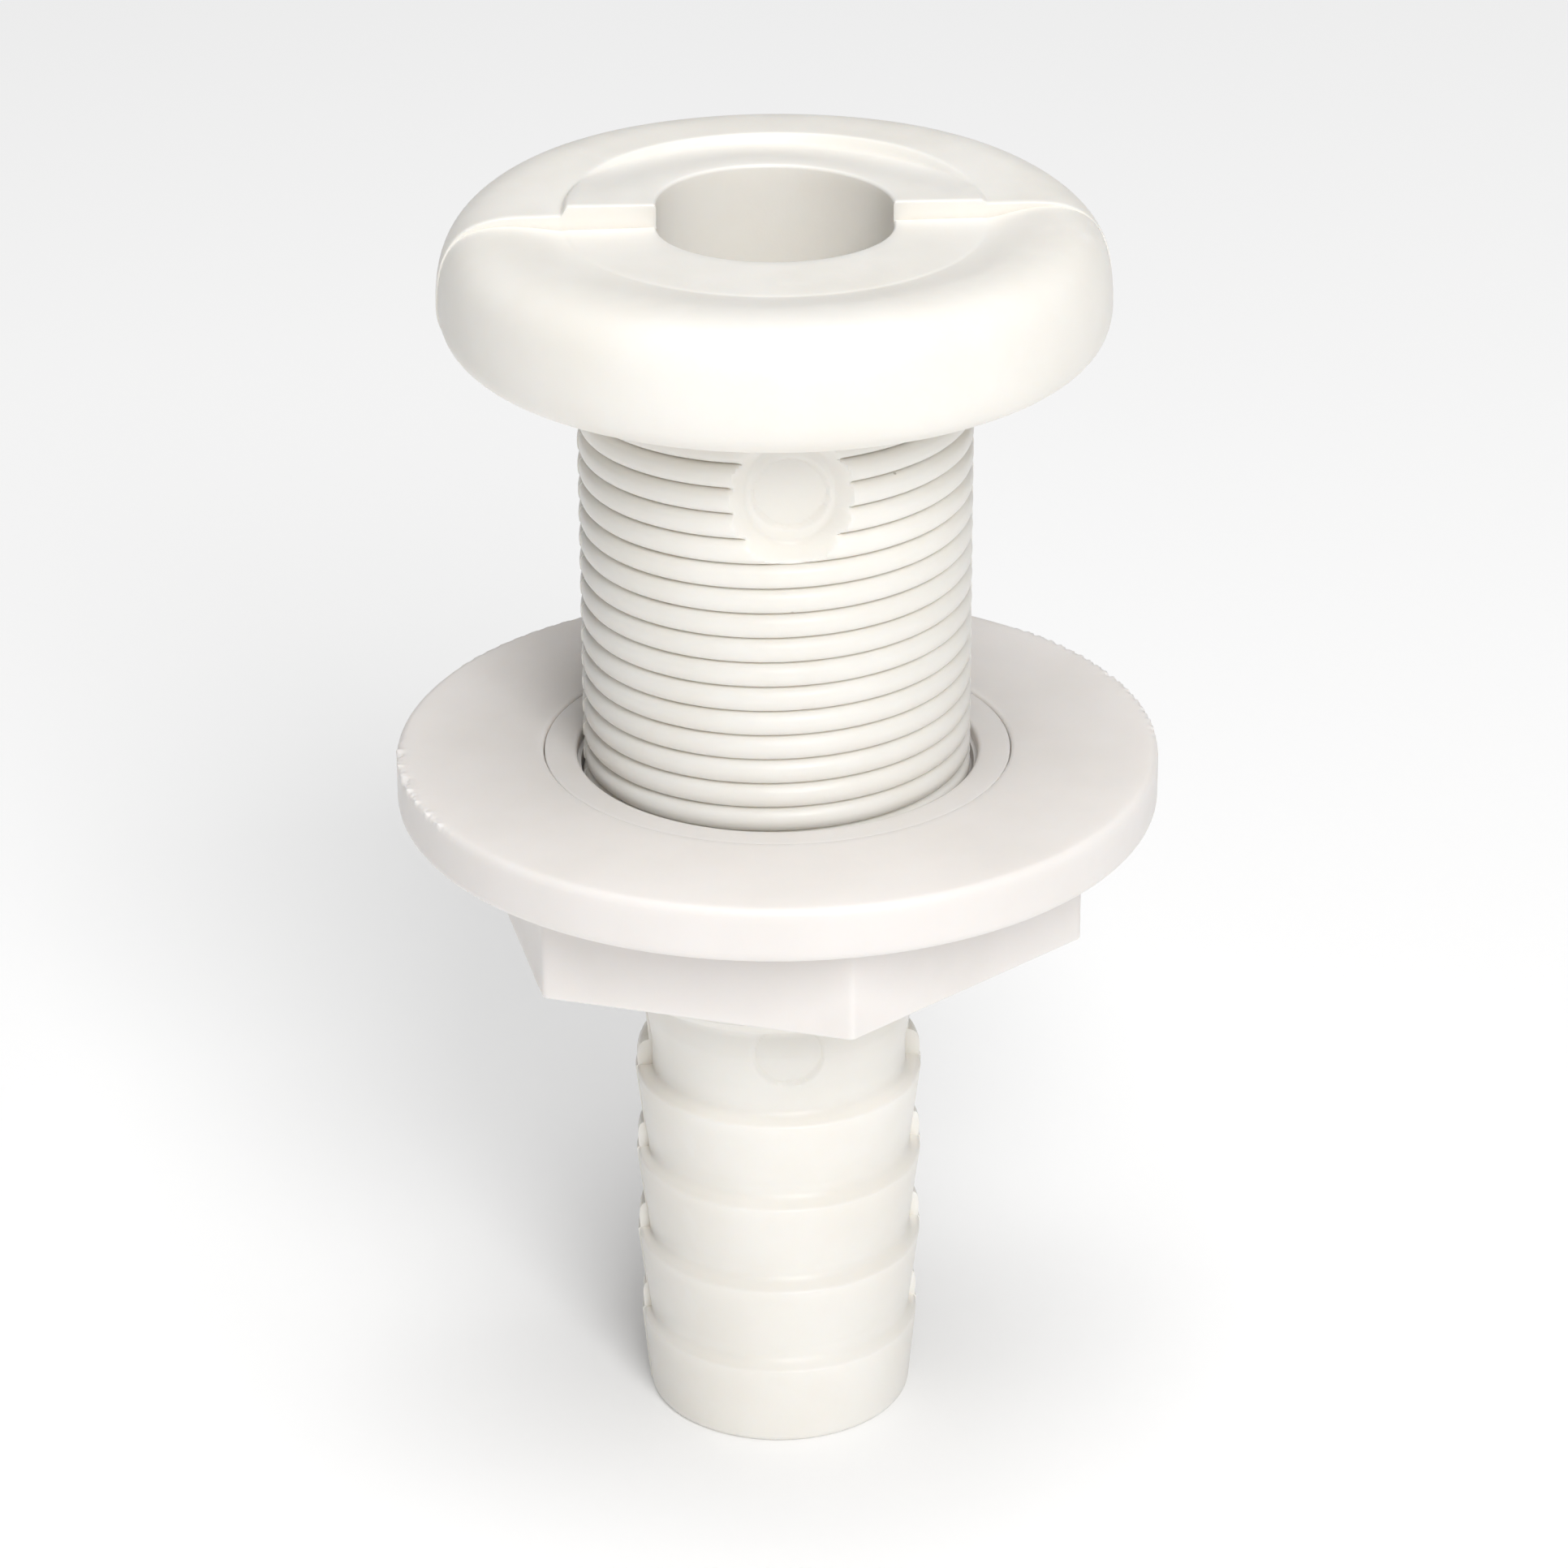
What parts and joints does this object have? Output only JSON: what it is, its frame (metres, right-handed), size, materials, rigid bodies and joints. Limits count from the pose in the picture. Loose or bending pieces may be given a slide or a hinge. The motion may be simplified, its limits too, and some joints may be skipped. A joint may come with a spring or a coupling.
{
  "type": "thru hull fitting",
  "caption": "Mushroom-head plastic thru-hull fitting: threaded shank with a flanged hex nut to clamp the hull, and a barbed hose tail with a bore right through.",
  "frame": {"origin": "centre of the head's flat underside, the face that bears on the hull", "axes": "+Z along the bore towards the head, so the shank and the hose tail run down -Z; the mould's parting plane is XZ and the half with the ejector marks faces -Y"},
  "size_m": [0.054, 0.054, 0.0927],
  "materials": {
    "body_plastic": "satin white moulding, slightly warm",
    "nut_plastic": "satin off-white moulding, slightly greyer than the body"
  },
  "bodies": {
    "fitting": {"fitting_body": "body_plastic"},
    "nut_lead": {"nut_seat_ring": "nut_plastic"},
    "nut": {"hull_nut": "nut_plastic"}
  },
  "joints": [
    {"name": "nut_travel", "type": "slide", "parent": "fitting", "child": "nut_lead", "axis": [0, 0, 1], "range_m": [-0.00181, 0.02721]},
    {"name": "nut_turn", "type": "hinge", "parent": "nut_lead", "child": "nut", "pos_m": [0, 0, -0.03], "axis": [0, 0, 1], "range_deg": [-360, 5400]}
  ],
  "couplings": [
    {"joint": "nut_travel", "follows": "nut_turn", "m_per_rad": 0.00028875}
  ]
}
